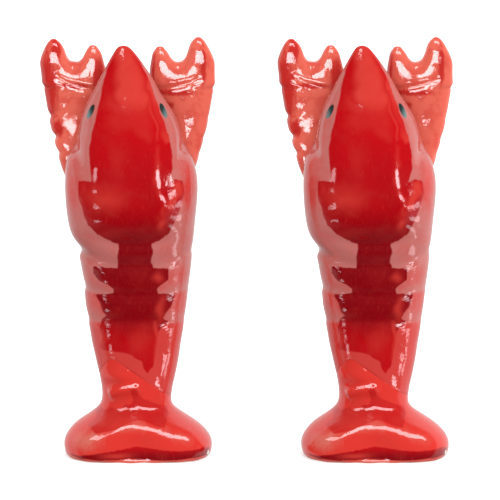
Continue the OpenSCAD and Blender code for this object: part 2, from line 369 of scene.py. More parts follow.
def body_paint(p, n):
    """The body's paint: the deep red's distance inside its edge, how much lighter it is (mostly painted
    sheen) and how much painted shade darkens it, how thin the pale red beside it is, and the eyes with
    their painted glint."""
    x, z = p[..., 0], p[..., 2]
    facing = -n[..., 1]
    light = np.zeros(x.shape)
    u, v = x + wobble(p, 0.35, 5, 21), z + wobble(p, 0.5, 6, 22)
    deep = inside_outline(x + (u - x) / 4, z + (v - z) / 4, CARAPACE_RED)
    deep = np.maximum(deep, inside_outline(u, z + (v - z) / 3, ABDOMEN_RED))
    deep = np.where(facing > -0.1, deep, OUTSIDE)
    # Painted sheen and reflection: lighter red over the deep red
    for outline, edge, strength in SHEEN_SHAPES:
        fade = smooth(-edge, edge, inside_outline(u, v, outline))
        light = np.maximum(light, strength * fade * (1 - 0.6 * smooth(96, 90, z) * smooth(84, 88, z)))
    for mid_x, mid_z, half_x, half_z, strength in SHEEN_PATCHES:
        light = np.maximum(light, strength * patch(u, v, mid_x, mid_z, half_x, half_z))
    for line, width, strength in SHEEN_LINES:
        d, along = near_line(u, v, line)
        light = np.maximum(light, strength * bell(d, width) * np.sin(math.pi * along) ** 0.3)
    # Painted shade: the deep red grows darker from the carapace's lower half downwards, most from its rear
    # edge down the abdomen, and less again on the waist
    pool = (0.28 * smooth(90, 74, z) + 0.72 * smooth(70, 57, v)) * (0.15 + 0.85 * smooth(30, 39, v))
    # Pale red beside the deep red: thin paint, and on the sides, as they turn away, partly a painted
    # reflection of pale surroundings
    thin = np.full(x.shape, 0.85)
    for shoulder_x in (-15.0, 16.0):
        thin -= 0.6 * patch(x, z, shoulder_x, 72, 2.4, 6.5)
    thin -= 0.45 * smooth(52, 44, z) + 0.4 * smooth(38, 30, z)
    for height, rise, _, above, *_ in PLATES[1:]:
        d = above_plate(x, z, height, rise)
        thin += 0.5 * bell(np.maximum(d - 0.3, 0), above) * smooth(-1.1, 0.1, d) * smooth(30, 40, z)
    thin += 0.3 * smooth(-0.1, -0.7, facing)
    eye = np.full(x.shape, NOWHERE)
    for eye_x, eye_z in EYES:
        across = x - eye_x + EYE_LEAN * np.sign(eye_x) * (z - eye_z)
        reach = 1 - np.sqrt((across / EYE_HALF_W) ** 2 + ((z - eye_z) / EYE_HALF_H) ** 2)
        eye = np.maximum(eye, np.where(facing > 0, reach, NOWHERE))
        # Painted glint: each eye lightens towards its outer, lower side
        glint = smooth(-0.9, 1.5, np.sign(eye_x) * (x - eye_x) - 0.5 * (z - eye_z))
        light = np.where(reach > -0.3, glint, light)
    return {"deep": deep, "light": light, "pool": pool, "thin": np.clip(thin, 0, 1), "eye": eye,
            "bare": np.full(x.shape, NOWHERE)}


# ---------------------------------------------------------------- the tail fan's form and paint

# Outlines of its deep red: under the waist, and along the floor
FAN_RED = [
    [(-8.7, 12.7), (-4.5, 13.1), (-1.3, 12.9), (-0.3, 14.1), (1.0, 15.8), (0.5, 18.4), (1.6, 18.9),
     (2.9, 16.9), (5.5, 15.2), (8.2, 14.1), (10.0, 13.2), (10.3, 10.8), (9.7, 8.6), (7.6, 9.3), (5.5, 10.3),
     (2.9, 10.7), (0.3, 10.3), (-1.8, 9.1), (-4.5, 8.1), (-8.7, 7.7), (-10.0, 8.4), (-8.9, 10.9)],
    [(-8.6, 2.4), (-2.9, 3.4), (0.3, 4.0), (1.8, 4.3), (5.5, 4.0), (9.5, 3.4), (13.4, 3.2), (17.4, 3.2),
     (20.0, 3.4), (21.4, 2.6), (21.0, 1.1), (9.0, 0.7), (0.3, 1.1), (-7.6, 0.7), (-12.9, 0.9), (-15.4, 1.6),
     (-12.6, 1.6)],
]
# Line along the fan's upper edge, where the paint is thin
FAN_RIDGE = [(-16, 5.5), (-8, 7.2), (-2, 8.8), (3, 9.8), (9, 8.0), (16, 5.5)]
# Worn spot low at the +X end
CHIP_AT, CHIP_R, CHIP_SQUEEZE = (20.7, -6.4, 1.5), 0.75, (1, 0.8, 1.2)


def front_angle(a):
    """Angle from straight ahead, in degrees, positive to the figure's +X side."""
    return (np.degrees(a) - 270 + 180) % 360 - 180


def tail_relief(p, n, a):
    """How far the tail fan's surface stands out from its plain loft, in millimetres."""
    x, z = p[..., 0], p[..., 2]
    facing = smooth(0, 0.5, -n[..., 1])
    ahead = front_angle(a)
    low = smooth(10.5, 5, z)
    out = -1.5 * bell(ahead, 15) * low
    out += 0.55 * (bell(ahead - 38, 20) + bell(ahead + 38, 20)) * low
    # The knuckle under the seam and the ridge below it
    out += 1.1 * facing * patch(x, z, -2.4, 21.6, 4.2, 2.1)
    ridge, along = near_line(x, z, [(-5.5, 16.4), (-3.5, 17.4), (0, 18.2), (4.5, 18.6)])
    out += 1.3 * facing * bell(ridge, 1.3) * smooth(0, 0.25, along) * smooth(1, 0.8, along)
    out += wobble(p, 0.06, 13, 8) * smooth(0, 1.5, z)
    return out


def tail_paint(p, n):
    """The tail fan's paint, with painted shade low on its front, the bare edge of its foot and the worn
    spot.
    """
    x, z = p[..., 0], p[..., 2]
    facing = -n[..., 1]
    u, v = x + wobble(p, 0.4, 5, 31), z + wobble(p, 0.3, 6, 32)
    deep = np.maximum(inside_outline(u, v, FAN_RED[0]), inside_outline(x, z, FAN_RED[1]))
    deep = np.where(facing > 0.05, deep, OUTSIDE)
    light = 0.35 * smooth(5, 7, z) + 0.4 * patch(x, z, -3, 10, 6, 2) + 0.8 * patch(x, z, -3, 1.9, 3.6, 0.7)
    # Painted shade: the deep red darker towards the floor on the fan's front face
    pool = smooth(4.4, 1.4, z)
    thin = 0.05 + 0.5 * smooth(0.1, -0.6, facing) + 0.6 * smooth(1.5, 0.8, z)
    ridge = near_line(x, z, FAN_RIDGE)[0]
    thin += 0.4 * bell(ridge, 1.6) * smooth(0.0, 0.6, facing)
    thin += 0.6 * patch(x, z, -11, 4.5, 4.5, 2.5)
    bare = 0.16 - z - 0.2 * np.sin(x * 0.9 + 1) * np.sin(p[..., 1] * 0.7)
    chip = CHIP_R + wobble(p, 0.3, 1.6, 12) - np.linalg.norm((p - CHIP_AT) * CHIP_SQUEEZE, axis=-1)
    return {"deep": deep, "light": light, "pool": pool, "thin": np.clip(thin, 0, 1),
            "eye": np.full(x.shape, NOWHERE), "bare": np.maximum(bare, chip)}


# ---------------------------------------------------------------- closed meshes

def strip_faces(rows, columns, closed=False):
    """Quads between rows of points, each row a closed ring; closed joins the last row to the first."""
    i = np.arange(rows if closed else rows - 1)[:, None]
    j = np.arange(columns)[None, :]
    up = (i + 1) % rows
    k = (j + 1) % columns
    corners = (i * columns + j, i * columns + k, up * columns + k, up * columns + j)
    return np.stack(np.broadcast_arrays(*corners), -1).reshape(-1, 4)


def mesh_from(name, points, quads, triangles=()):
    mesh = bpy.data.meshes.new(name)
    faces = [tuple(q) for q in quads.tolist()] + [tuple(t) for t in triangles]
    mesh.from_pydata((points * MM).tolist(), [], faces)
    mesh.update()
    return mesh


BODY_COLUMNS, BODY_STEPS, HOLLOW_STEPS = 288, 280, 44
TAIL_COLUMNS, TAIL_STEPS, NECK_STEPS, FOOT_STEPS = 320, 120, 24, 9


def around(columns):
    return np.arange(columns) * 2 * math.pi / columns


def grid_above_seam(rows, a, seam_rows, u):
    """Rings of a loft from the seam up, at the shares u of the length from there to its tip."""
    at = curve_through(rows)
    t, length = even_places(at)
    start = np.interp(seam_place(at, a, *seam_rows), t, length)
    place = np.interp(start + (length[-1] - start) * u, length, t)
    return ring_points(at(place), np.broadcast_to(a, place.shape))


def sink_lip(p, n, side):
    """Draws the surface in a little beside the seam, on its upper (1) or lower (-1) side."""
    lip = side * (p[..., 2] - seam_height(p[..., 0])) * SEAM_COS
    return p - n * (LIP_DEPTH * bell(lip, LIP_WIDTH))[..., None]


def build_body(name):
    """Closed shell of the body: its outside, the seam's face and the hollow inside."""
    a = around(BODY_COLUMNS)
    # Rows lie closer beside the seam
    u = np.linspace(0, 1, BODY_STEPS)[:-1, None]
    p = grid_above_seam(BODY_ROWS, a, BODY_SEAM_ROWS, u - 0.9 * u * (1 - u) ** 14)
    n = grid_normals(p)
    p = sink_lip(p + n * body_relief(p, n)[..., None], n, 1)
    inner = grid_above_seam(HOLLOW_ROWS, a, HOLLOW_SEAM_ROWS, np.linspace(0, 1, HOLLOW_STEPS)[:-1, None])
    for first in (p[0], inner[0]):
        first[:, 2] = seam_height(first[:, 0])
    rings = np.concatenate([inner[::-1], p])
    count = rings.shape[0] * BODY_COLUMNS
    points = np.concatenate([rings.reshape(-1, 3), [HOLLOW_TIP, BODY_TIP]])
    quads = strip_faces(rings.shape[0], BODY_COLUMNS)
    ring = [(j, (j + 1) % BODY_COLUMNS) for j in range(BODY_COLUMNS)]
    top = count - BODY_COLUMNS
    caps = [(k, j, count) for j, k in ring] + [(top + j, top + k, count + 1) for j, k in ring]
    return mesh_from(name, points, quads, caps)


def circle_ring(a, r, z):
    return np.stack([PLUG_X + r * np.cos(a), PLUG_Y + r * np.sin(a), np.full(a.shape, float(z))], -1)


# The filling hole, and the recess in the foot that the stopper's rim sits in
BORE_R, RECESS_R, RECESS_D = 6.5, 8.4, 2.3
# Radius and height of the rings from the neck's floor down to the foot, with slightly rounded edges
BORE_RINGS = [
    (BORE_R + 0.25, 5.5), (BORE_R + 0.05, 5.42), (BORE_R, 5.2), (BORE_R, 4.2), (BORE_R, 3.2),
    (BORE_R, RECESS_D + 0.3), (BORE_R + 0.09, RECESS_D + 0.09), (BORE_R + 0.3, RECESS_D),
    (7.4, RECESS_D), (RECESS_R - 0.3, RECESS_D), (RECESS_R - 0.06, RECESS_D - 0.06),
    (RECESS_R, RECESS_D - 0.3), (RECESS_R, 1.2), (RECESS_R, 0.4), (RECESS_R + 0.12, 0.12),
    (RECESS_R + 0.4, 0),
]


def build_tail(name):
    """Closed ring of the tail fan: its outside, the seam's face, the neck, the bore and the foot."""
    at = curve_through(TAIL_ROWS)
    a = around(TAIL_COLUMNS)
    t, length = even_places(at)
    end = np.interp(seam_place(at, a, FIRST_TAIL_SEAM_ROW, at.last), t, length)
    u = np.linspace(0, 1, TAIL_STEPS)[:, None]
    u = u + 0.9 * (1 - u) * u**14
    place = np.interp(end * u, length, t)
    wide = np.broadcast_to(a, place.shape)
    r = at(place)
    # The fan's upper edge is higher in the middle of its front than at the ends of its lobes
    lift = 1.8 * bell(front_angle(wide) - 3, 28)
    z = r[..., Z]
    warped = z - lift * np.where(z < 8, smooth(0, 8, z), smooth(19, 8, z))
    height_at = at(t)[:, Z]
    r = at(np.interp(warped, height_at, t))
    r[..., Z] = z
    p = ring_points(r, wide)
    n = grid_normals(p)
    p = sink_lip(p + n * (tail_relief(p, n, wide) * smooth(0, 0.6, z))[..., None], n, -1)
    p[-1, :, 2] = seam_height(p[-1, :, 0])
    p[0, :, 2] = 0
    # Inside, from the seam down to the floor of the neck
    neck = curve_through(HOLLOW_ROWS)
    t, length = even_places(neck)
    top = np.interp(seam_place(neck, a, *HOLLOW_SEAM_ROWS), t, length)
    place = np.interp(top * np.linspace(1, 0, NECK_STEPS)[:, None], length, t)
    inner = ring_points(neck(place), np.broadcast_to(a, place.shape))
    inner[0, :, 2] = seam_height(inner[0, :, 0])
    bore = np.stack([circle_ring(a, radius, height) for radius, height in BORE_RINGS])
    foot = np.stack([bore[-1] + (p[0] - bore[-1]) * s for s in np.linspace(0, 1, FOOT_STEPS)[1:-1]])
    rings = np.concatenate([p, inner, bore, foot])
    quads = strip_faces(rings.shape[0], TAIL_COLUMNS, closed=True)
    return mesh_from(name, rings.reshape(-1, 3), quads)


# ---------------------------------------------------------------- claws

# Arm and claw as drawn for the right side: x, height, half width, middle in y, half thickness
ARM = [
    (12.6, 72, 3.4, 5, 3.3), (13.9, 76, 3.9, 6.4, 3.6), (14.9, 81, 4.4, 7.8, 3.8),
    (15.45, 86, 5.2, 9, 3.9), (15.1, 91, 6.5, 9.5, 3.9), (14.45, 95.5, 7.85, 9.7, 3.9),
]
OUTER_FINGER = [
    (18.1, 98, 4.65, 9.8, 3.8), (18.35, 101.5, 4.4, 9.7, 3.5), (18.6, 103.5, 4.05, 9.6, 3.3),
    (18.65, 105.5, 3.3, 9.6, 3), (18.5, 107, 2.7, 9.5, 2.6), (18.4, 108.2, 2.1, 9.5, 2.1),
    (18.4, 109.1, 1.4, 9.5, 1.5), (18.4, 109.5, 0.9, 9.5, 1),
]
INNER_FINGER = [
    (9.9, 98, 4.3, 9.8, 3.8), (9.5, 101, 4, 9.7, 3.5), (8.75, 103.7, 2.85, 9.6, 3),
    (8.45, 105, 2.3, 9.5, 2.5), (8.35, 106, 1.7, 9.5, 1.9), (8.3, 106.7, 1.1, 9.5, 1.3),
]
# Height of the palm's top, above which the fingers lean, and how far they reach above it
PALM_TOP, FINGER_REACH = 97, 13
# How much blunter than round a finger's tip is, and how softly the fingers grow from the palm
FINGER_BLUNT, FINGER_BLEND = 2.5, 0.9
# Heights and depths of the creases across the arm's outer side
CREASES = [(80.6, 0.5), (85.2, 0.6), (91.2, 0.35)]
# The fold below the fingers and the line of the hinge between them
FOLD_LINE = [(19.5, 99.6), (16.5, 98), (12.5, 96.9), (8.5, 96.5)]
HINGE_LINE = [(16.2, 105), (15, 102.4), (13.8, 100)]


def flat_tube(q, rows, splay=0, lift=0, blunt=1):
    """Distance, roughly, to a flattened tube through a few rows, round or blunter at its ends.
    Above the palm it leans out by splay and is lifted by lift."""
    x, y, z = q[..., 0], q[..., 1], q[..., 2]
    at = curve_through(rows)
    mid_x, mid_z, half_x, mid_y, half_y = at(np.linspace(0, at.last, 200)).T
    lean = np.maximum(mid_z - PALM_TOP, 0) / FINGER_REACH
    mid_x, mid_z = mid_x + splay * lean, mid_z + lift * lean
    level = np.clip(z, mid_z[0], mid_z[-1])
    mid_x, half_x, mid_y, half_y = (np.interp(level, mid_z, v) for v in (mid_x, half_x, mid_y, half_y))
    flat = np.hypot(x - mid_x, blunt * (z - level)) / half_x
    thick = np.abs(y - mid_y) / half_y
    return ((flat**3 + thick**3) ** (1 / 3) - 1) * half_y


def blend_min(a, b, k):
    """The nearer of two distances, with a fillet of size k."""
    h = np.clip(0.5 + 0.5 * (b - a) / k, 0, 1)
    return b + (a - b) * h - k * h * (1 - h)


def claw_field(q, splay, lifts, crease, turn):
    """Distance, roughly, to a claw as drawn for the right side; turn swings its broad face."""
    x, z = q[..., 0], q[..., 2]
    q = np.stack([x, q[..., 1] + turn * (14.5 - x) * smooth(78, 88, z), z], -1)
    d = flat_tube(q, ARM)
    for finger, lift in zip((OUTER_FINGER, INNER_FINGER), lifts):
        d = blend_min(d, flat_tube(q, finger, splay, lift, FINGER_BLUNT), FINGER_BLEND)
    for height, depth in CREASES:
        line = z - height + 0.25 * (x - 15) + 0.03 * (x - 15) ** 2
        d = d + crease * depth * bell(line, np.where(line > 0, 1.3, 0.8)) * smooth(15, 19.5, x)
    fold, along = near_line(x, z, FOLD_LINE)
    d = d + 0.3 * bell(fold, 0.9) * np.sin(math.pi * along) ** 0.5
    hinge, along = near_line(x, z, HINGE_LINE)
    d = d + 0.12 * bell(hinge, 0.5) * (1 - smooth(0.5, 1, along))
    return d + wobble(q, 0.04, 18, 5)


# Size of the net's cells, the part of x it looks through, and its rounds of evening out and drawing back
CLAW_STEP, CLAW_SPACE_X = 0.36, (3.5, 25.5)
NET_TURNS, NET_EVENING_TURNS = 8, 6


def surface_net(field, lo, hi, step):
    """Closed quad mesh of the surface where field is 0, evened out and then drawn back onto it."""
    lo = np.array(lo, float)
    axes = [np.arange(lo[i], hi[i] + step, step) for i in range(3)]
    inside = field(np.stack(np.meshgrid(*axes, indexing="ij"), -1)) < 0
    shape = np.array(inside.shape)
    count = np.zeros(shape - 1, int)
    for i in (0, 1):
        for j in (0, 1):
            for k in (0, 1):
                count += inside[i : shape[0] - 1 + i, j : shape[1] - 1 + j, k : shape[2] - 1 + k]
    mixed = (count > 0) & (count < 8)
    index = np.full(mixed.shape, -1)
    index[mixed] = np.arange(mixed.sum())
    points = lo + (np.argwhere(mixed) + 0.5) * step
    quads = []
    for axis in range(3):
        a, b = (axis + 1) % 3, (axis + 2) % 3
        here = np.take(inside, range(shape[axis] - 1), axis)
        there = np.take(inside, range(1, shape[axis]), axis)
        edge = np.argwhere(here != there)
        leaving = here[tuple(edge.T)]
        da, db = np.eye(3, dtype=int)[a], np.eye(3, dtype=int)[b]
        q = np.stack([index[tuple(c.T)] for c in (edge - da - db, edge - db, edge, edge - da)], 1)
        q[~leaving] = q[~leaving][:, ::-1]
        quads.append(q)
    quads = np.concatenate(quads)
    pairs = np.concatenate([quads[:, [i, (i + 1) % 4]] for i in range(4)])
    pairs = np.concatenate([pairs, pairs[:, ::-1]])
    neighbours = np.bincount(pairs[:, 0], minlength=len(points))[:, None]
    eps = 0.02
    for turn in range(NET_TURNS):
        if turn < NET_EVENING_TURNS:
            ends = points[pairs[:, 1]]
            total = np.stack([np.bincount(pairs[:, 0], ends[:, i], len(points)) for i in range(3)], 1)
            points = points + 0.6 * (total / neighbours - points)
        for _ in range(2):
            d = field(points)
            steps = eps * np.eye(3)
            slope = np.stack([(field(points + e) - field(points - e)) / (2 * eps) for e in steps], 1)
            points = points - slope * (d / np.maximum((slope**2).sum(1), 1e-6))[:, None]
    return points, quads


def build_claw(name, side, splay, lifts, crease, turn):
    """Claw of the +X side (1) or the -X side (-1)."""
    def field(q):
        return claw_field(q * (side, 1, 1), splay, lifts, crease, turn)

    ends = sorted(side * x for x in CLAW_SPACE_X)
    points, quads = surface_net(field, (ends[0], -1, 67), (ends[1], 17, 112), CLAW_STEP)
    return mesh_from(name, points, quads)


# Redder spots on the claws, the thin ones along the fold below the fingers being painted shade in it:
# middle and half sizes in the front view
CLAW_RED_AND_SHADE_SPOTS = [
    (-21.4, 97, 2.6, 11), (-19.2, 106.5, 1.6, 3.4), (-8.0, 99.5, 1.6, 5), (-14.5, 97.2, 4.5, 0.7),
    (-18.5, 86, 1.4, 2.2), (6.0, 102.5, 0.9, 5.5), (12.5, 95.4, 5.5, 0.8), (19.6, 103, 0.9, 5.0),
    (10.2, 92.0, 1.6, 0.9),
]


def claw_paint(p, n):
    """The claws' paint: pale red with redder spots, some of them painted shade along the fold, thin at the
    arm's root and behind.
    """
    x, z = p[..., 0], p[..., 2]
    thin = 0.05 + 0.5 * smooth(84, 76, z) + 0.25 * smooth(0.2, -0.6, -n[..., 1])
    deep = none = np.full(z.shape, NOWHERE)
    for mid_x, mid_z, half_x, half_z in CLAW_RED_AND_SHADE_SPOTS:
        deep = np.maximum(deep, 0.44 - 0.44 * np.hypot((x - mid_x) / half_x, (z - mid_z) / half_z))
    return {"deep": deep, "light": np.full(z.shape, 0.6), "pool": np.zeros(z.shape),
            "thin": np.clip(thin, 0, 1), "eye": none, "bare": none}


# ---------------------------------------------------------------- materials

class Nodes:
    """A material's or world's node tree, with short calls for the nodes used here."""

    def __init__(self, tree):
        self.tree = tree
        tree.nodes.clear()

    def add(self, kind, **settings):
        made = self.tree.nodes.new(kind)
        for key, value in settings.items():
            setattr(made, key, value)
        return made

    def put(self, node, key, value):
        """Sets an input to a number or colour, links it to another node's output, or leaves it."""
        if isinstance(value, bpy.types.NodeSocket):
            self.tree.links.new(value, node.inputs[key])
        elif value is not None:
            node.inputs[key].default_value = value

    def end_in(self, kind, shader):
        self.put(self.add(kind), 0, shader.outputs[0])

    def surface(self, values):
        """Principled shader with these inputs, as the material's surface."""
        shader = self.add("ShaderNodeBsdfPrincipled")
        for key, value in values.items():
            self.put(shader, key, value)
        self.end_in("ShaderNodeOutputMaterial", shader)

    def math(self, operation, a, b=None, clamp=False):
        made = self.add("ShaderNodeMath", operation=operation, use_clamp=clamp)
        self.put(made, 0, a)
        self.put(made, 1, b)
        return made.outputs[0]

    def uneven(self, noise, size):
        """A noise of 0 to 1 as a push up or down, size across."""
        return self.math("MULTIPLY", self.math("SUBTRACT", noise, 0.5), size)

    def mix(self, amount, a, b):
        made = self.add("ShaderNodeMix", data_type="RGBA", clamp_factor=True)
        self.put(made, 0, amount)
        self.put(made, 6, a)
        self.put(made, 7, b)
        return made.outputs[2]

    def ramp(self, value, low, high, to_low=0.0, to_high=1.0):
        made = self.add("ShaderNodeMapRange", interpolation_type="SMOOTHSTEP")
        for i, v in enumerate((value, low, high, to_low, to_high)):
            self.put(made, i, v)
        return made.outputs[0]

    def attribute(self, name):
        return self.add("ShaderNodeAttribute", attribute_name=name).outputs

    def stretched(self, vector, scale):
        made = self.add("ShaderNodeVectorMath", operation="MULTIPLY")
        self.put(made, 0, vector)
        self.put(made, 1, scale)
        return made.outputs[0]

    def noise(self, vector, scale, detail=2.0, rough=0.5, distortion=0.0):
        made = self.add("ShaderNodeTexNoise")
        keys = ("Vector", "Scale", "Detail", "Roughness", "Distortion")
        for key, value in zip(keys, (vector, scale, detail, rough, distortion)):
            self.put(made, key, value)
        return made.outputs["Fac"]

    def bump(self, height, strength, distance, normal=None):
        made = self.add("ShaderNodeBump")
        keys = ("Strength", "Distance", "Height", "Normal")
        for key, value in zip(keys, (strength, distance, height, normal)):
            self.put(made, key, value)
        return made.outputs[0]


def rgb(r, g, b):
    return (r, g, b, 1)


# The darker red stands for painted shade on the deep red; the light red also serves for painted sheen
DEEP_RED, SHADED_RED, LIGHT_RED = rgb(0.44, 0.001, 0.004), rgb(0.21, 0.001, 0.004), rgb(0.56, 0.038, 0.028)
BODY_RED, THIN_PINK = rgb(0.52, 0.040, 0.034), rgb(0.47, 0.135, 0.122)
CLAW_RED, CLAW_PALE = rgb(0.71, 0.125, 0.085), rgb(0.68, 0.20, 0.155)
FAN_PLAIN, FAN_PALE = rgb(0.60, 0.030, 0.022), rgb(0.58, 0.13, 0.10)
# The eye's lighter colour is its painted glint
EYE_DARK, EYE_GLINT = rgb(0.018, 0.030, 0.028), rgb(0.13, 0.19, 0.185)
BARE_CLAY, BARE_CLAY_PALE = rgb(0.66, 0.61, 0.53), rgb(0.70, 0.66, 0.59)
PLASTIC, PLASTIC_CLOUD = rgb(0.80, 0.80, 0.76), rgb(0.72, 0.73, 0.69)
GLAZE_ROUGH, CLAY_ROUGH, GLAZE_IOR = 0.09, 0.75, 1.52
# Strokes and streaks run up and down: their noise is drawn out along Z
STROKE_STRETCH, STREAK_STRETCH, SCUFF_STRETCH = (1.0, 1.0, 0.28), (1.0, 1.0, 0.16), (1.0, 1.0, 0.2)


def new_material(name):
    material = bpy.data.materials.new(name)
    material.use_nodes = True
    return material, Nodes(material.node_tree)


def glaze_material(name, plain, thin, blotch):
    """Gloss glaze over hand-brushed paint. The figure's own coordinates, in millimetres, place every
    stroke; the mesh's fields say where the paint is deep, thin or missing, and where painted sheen lightens
    it and painted shade darkens it."""
    material, m = new_material(name)
    place = m.attribute("figure_mm")["Vector"]
    deep, light, pool, thinness, eye, missing = (
        m.attribute(key)["Fac"] for key in ("deep", "light", "pool", "thin", "eye", "bare")
    )
    strokes = m.noise(m.stretched(place, STROKE_STRETCH), 0.62, 3.0, 0.62, 1.6)
    streaks = m.noise(m.stretched(place, STREAK_STRETCH), 2.6, 2.0, 0.6, 0.6)
    patches = m.noise(place, 0.16, 3.0, 0.55, 0.8)
    blotches = m.noise(place, 0.2, 3.0, 0.6, 0.3)
    grain = m.noise(place, 7.0, 3.0, 0.7)
    # The pale wash, as thick as the brush left it and on the body's sides partly a painted reflection, with
    # redder blotches
    wash = m.math("ADD", m.math("ADD", thinness, m.uneven(strokes, 0.55)), m.uneven(patches, 0.7))
    colour = m.mix(m.ramp(wash, 0.15, 1.0), plain, thin)
    colour = m.mix(m.ramp(blotches, 0.52, 0.34, 0.0, blotch), colour, LIGHT_RED)
    # The deep red over it, darkened by painted shade and lightened, mostly by painted sheen, with a brushed
    # edge
    uneven = m.uneven(patches, 0.5)
    rich = m.mix(m.math("ADD", pool, uneven, clamp=True), DEEP_RED, SHADED_RED)
    rich = m.mix(m.math("ADD", light, uneven, clamp=True), rich, LIGHT_RED)
    rich = m.mix(m.ramp(streaks, 0.54, 0.78, 0.0, 0.22), rich, LIGHT_RED)
    edge = m.math("ADD", deep, m.uneven(strokes, 0.7))
    colour = m.mix(m.ramp(edge, -0.22, 0.22), colour, rich)
    colour = m.mix(m.ramp(eye, -0.05, 0.1), colour, m.mix(light, EYE_DARK, EYE_GLINT))
    bare = m.ramp(missing, -0.12, 0.12)
    colour = m.mix(bare, colour, m.mix(m.ramp(grain, 0.35, 0.7), BARE_CLAY, BARE_CLAY_PALE))
    # Slow ripples of the glaze, the brush's streaks under it, and the grain of bare clay
    ripple = m.bump(m.noise(place, 0.42, 2.0, 0.5), 0.35, 0.00022)
    ripple = m.bump(streaks, 0.12, 0.00006, ripple)
    m.surface({
        "Base Color": colour,
        "Roughness": m.ramp(bare, 0.0, 1.0, GLAZE_ROUGH, CLAY_ROUGH),
        "IOR": GLAZE_IOR,
        "Normal": m.bump(m.math("MULTIPLY", grain, bare), 0.5, 0.0001, ripple),
    })
    return material


def stopper_material():
    """Soft milky plastic, slightly cloudy, with fine scuffs."""
    material, m = new_material("stopper_plastic")
    place = m.add("ShaderNodeTexCoord").outputs["Object"]
    cloud = m.noise(place, 300.0, 3.0, 0.6)
    scuff = m.noise(m.stretched(place, SCUFF_STRETCH), 2600.0, 2.0, 0.6)
    m.surface({
        "Base Color": m.mix(m.ramp(cloud, 0.3, 0.7), PLASTIC, PLASTIC_CLOUD),
        "Roughness": m.ramp(scuff, 0.3, 0.7, 0.32, 0.48),
        "Subsurface Weight": 0.25,
        "Subsurface Radius": (0.004, 0.004, 0.004),
        "Subsurface Scale": 0.5,
        "Normal": m.bump(scuff, 0.15, 0.00003),
    })
    return material


# ---------------------------------------------------------------- pieces

SHARP_ANGLE = math.radians(35)


def point_normals(mesh):
    values = np.empty(len(mesh.vertices) * 3)
    mesh.vertex_normals.foreach_get("vector", values)
    return values.reshape(-1, 3)


def point_places(mesh):
    values = np.empty(len(mesh.vertices) * 3)
    mesh.vertices.foreach_get("co", values)
    return values.reshape(-1, 3)


def dress(mesh, paint):
    """Shades a mesh and writes its paint fields, while it is still in its figure's own frame."""
    mesh.polygons.foreach_set("use_smooth", np.ones(len(mesh.polygons), bool))
    mesh.set_sharp_from_angle(angle=SHARP_ANGLE)
    p = point_places(mesh) / MM
    fields = paint(p, point_normals(mesh))
    made = mesh.attributes.new("figure_mm", "FLOAT_VECTOR", "POINT")
    made.data.foreach_set("vector", p.ravel())
    for key, values in fields.items():
        made = mesh.attributes.new(key, "FLOAT", "POINT")
        made.data.foreach_set("value", np.ascontiguousarray(values, dtype=np.float32))


def drill(mesh, holes):
    """Cuts round holes through a closed mesh, each a start, a direction, a radius and a length in mm."""
    target = bpy.data.objects.new("drilled", mesh)
    bpy.context.scene.collection.objects.link(target)
    tools = []
    for start, direction, radius, length in holes:
        bpy.ops.mesh.primitive_cylinder_add(vertices=48, radius=radius * MM, depth=length * MM)
        tool = bpy.context.object
        aim = Vector(direction).normalized()
        tool.rotation_euler = aim.to_track_quat("Z", "Y").to_euler()
        tool.location = (Vector(start) + aim * length / 2) * MM
        tools.append(tool)
        cut = target.modifiers.new("hole", "BOOLEAN")
        cut.operation, cut.solver, cut.object = "DIFFERENCE", "MANIFOLD", tool
    made = bpy.data.meshes.new_from_object(target.evaluated_get(bpy.context.evaluated_depsgraph_get()))
    for obj in [target] + tools:
        bpy.data.objects.remove(obj)
    return made


def set_down(mesh, figure, part, kind):
    """A figure's own copy of a piece, on its body, standing for its CAD node."""
    name = figure + "_" + part
    copy = mesh.copy()
    copy.name = name + "_glazed"
    copy.materials.clear()
    copy.materials.append(glaze[kind])
    moved = point_places(copy) + (figure_x(figure), 0, 0)
    copy.vertices.foreach_set("co", moved.ravel())
    copy.update()
    piece = bpy.data.objects.new(name + "_glazed", copy)
    bpy.context.scene.collection.objects.link(piece)
    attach(piece, figure + "_shaker")
    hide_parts(name)


# Pour holes in the back of the head: where they start inside it, their direction and their size
POUR_PAIR = [(-3, 2.4, 91.5), (0.6, 2.4, 91.5)]
POUR_STARTS = {"salt": POUR_PAIR + [(-1.2, 2.4, 94.5)], "pepper": POUR_PAIR}
POUR_AIM = (0, math.sin(math.radians(55)), math.cos(math.radians(55)))
POUR_R, POUR_LENGTH = 1.0, 14

glaze = {
    "body": glaze_material("body_glaze", BODY_RED, THIN_PINK, 0.15),
    "claw": glaze_material("claw_glaze", CLAW_RED, CLAW_PALE, 0.45),
    "tail": glaze_material("tail_glaze", FAN_PLAIN, FAN_PALE, 0.4),
}
plastic = stopper_material()

plain_body = build_body("body")
tail_fan = build_tail("tail_fan")
claw_left = build_claw("claw_left", side=-1, splay=1.4, lifts=(-0.7, 0.8), crease=1.0, turn=0.17)
claw_right = build_claw("claw_right", side=1, splay=0.0, lifts=(0.0, 0.0), crease=0.25, turn=-0.2)
dress(tail_fan, tail_paint)
dress(claw_left, claw_paint)
dress(claw_right, claw_paint)
for figure in FIGURES:
    body = drill(plain_body, [(start, POUR_AIM, POUR_R, POUR_LENGTH) for start in POUR_STARTS[figure]])
    dress(body, body_paint)
    set_down(body, figure, "body", "body")
    set_down(tail_fan, figure, "tail_fan", "tail")
    set_down(claw_left, figure, "claw_left", "claw")
    set_down(claw_right, figure, "claw_right", "claw")
    stopper = frame["nodes"][figure + "_stopper"]
    stopper.data.materials.clear()
    stopper.data.materials.append(plastic)


# ---------------------------------------------------------------- stage, light and camera

FLOOR_HALF = 6
# The side that the tent is open to, as gloss sees it, and the angles from there where it closes
OPENING_ELEVATION = math.radians(38)
CLOSED_COS, OPEN_COS = math.cos(math.radians(94)), math.cos(math.radians(80))

LIGHT_TARGET, LIGHT_DISTANCE = Vector((0, 0, 0.06)), 1.2
LIGHT_TINT = (1.0, 0.95, 0.99)
